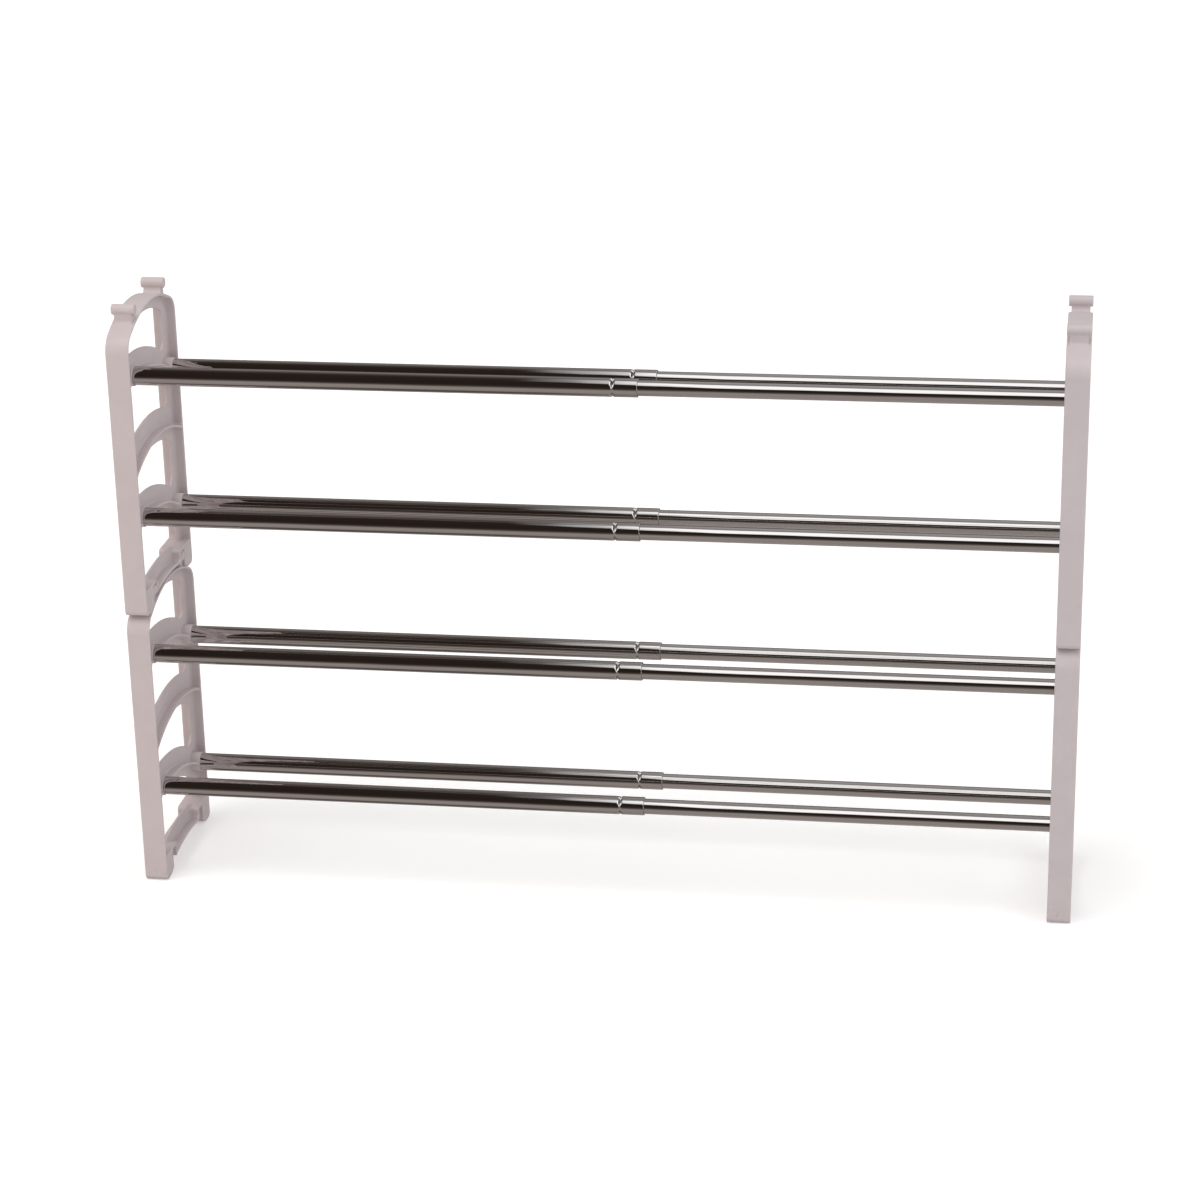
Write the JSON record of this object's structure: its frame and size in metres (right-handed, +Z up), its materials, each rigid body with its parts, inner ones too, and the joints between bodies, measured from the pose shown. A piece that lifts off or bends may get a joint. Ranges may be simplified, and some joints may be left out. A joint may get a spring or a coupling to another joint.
{
  "type": "extendable shoe rack",
  "caption": "Free-standing shoe rack: moulded end frames carry pairs of telescoping metal rods that pull out sideways, in units that stack on lugs.",
  "frame": {"origin": "on the floor, midway between the end frames at rest and midway between their front and back faces", "axes": "+X along the rods to the end that pulls out, +Y from the front to the back, +Z up"},
  "size_m": [0.976, 0.174, 0.6235],
  "materials": {
    "frame_plastic": "satin moulded",
    "chrome_tube": "polished",
    "glide_plastic": "satin moulded"
  },
  "bodies": {
    "lower_left_half": {"lower_left_frame": "frame_plastic", "tier1_front_outer_tube": "chrome_tube", "tier1_rear_outer_tube": "chrome_tube", "tier2_front_outer_tube": "chrome_tube", "tier2_rear_outer_tube": "chrome_tube"},
    "lower_right_half": {"lower_right_frame": "frame_plastic", "tier1_front_inner_tube": "chrome_tube", "tier1_front_glide": "glide_plastic", "tier1_rear_inner_tube": "chrome_tube", "tier1_rear_glide": "glide_plastic", "tier2_front_inner_tube": "chrome_tube", "tier2_front_glide": "glide_plastic", "tier2_rear_inner_tube": "chrome_tube", "tier2_rear_glide": "glide_plastic"},
    "upper_left_half": {"upper_left_frame": "frame_plastic", "tier3_front_outer_tube": "chrome_tube", "tier3_rear_outer_tube": "chrome_tube", "tier4_front_outer_tube": "chrome_tube", "tier4_rear_outer_tube": "chrome_tube"},
    "upper_right_half": {"upper_right_frame": "frame_plastic", "tier3_front_inner_tube": "chrome_tube", "tier3_front_glide": "glide_plastic", "tier3_rear_inner_tube": "chrome_tube", "tier3_rear_glide": "glide_plastic", "tier4_front_inner_tube": "chrome_tube", "tier4_front_glide": "glide_plastic", "tier4_rear_inner_tube": "chrome_tube", "tier4_rear_glide": "glide_plastic"}
  },
  "joints": [
    {"name": "lower_slide", "type": "slide", "parent": "lower_left_half", "child": "lower_right_half", "axis": [1, 0, 0], "range_m": [-0.415, 0.05]},
    {"name": "upper_lift", "type": "slide", "parent": "lower_left_half", "child": "upper_left_half", "axis": [0, 0, 1], "range_m": [0, 0.04]},
    {"name": "upper_slide", "type": "slide", "parent": "upper_left_half", "child": "upper_right_half", "axis": [1, 0, 0], "range_m": [-0.415, 0.05]}
  ],
  "couplings": [
    {"joint": "upper_slide", "follows": "lower_slide", "ratio": 1}
  ]
}
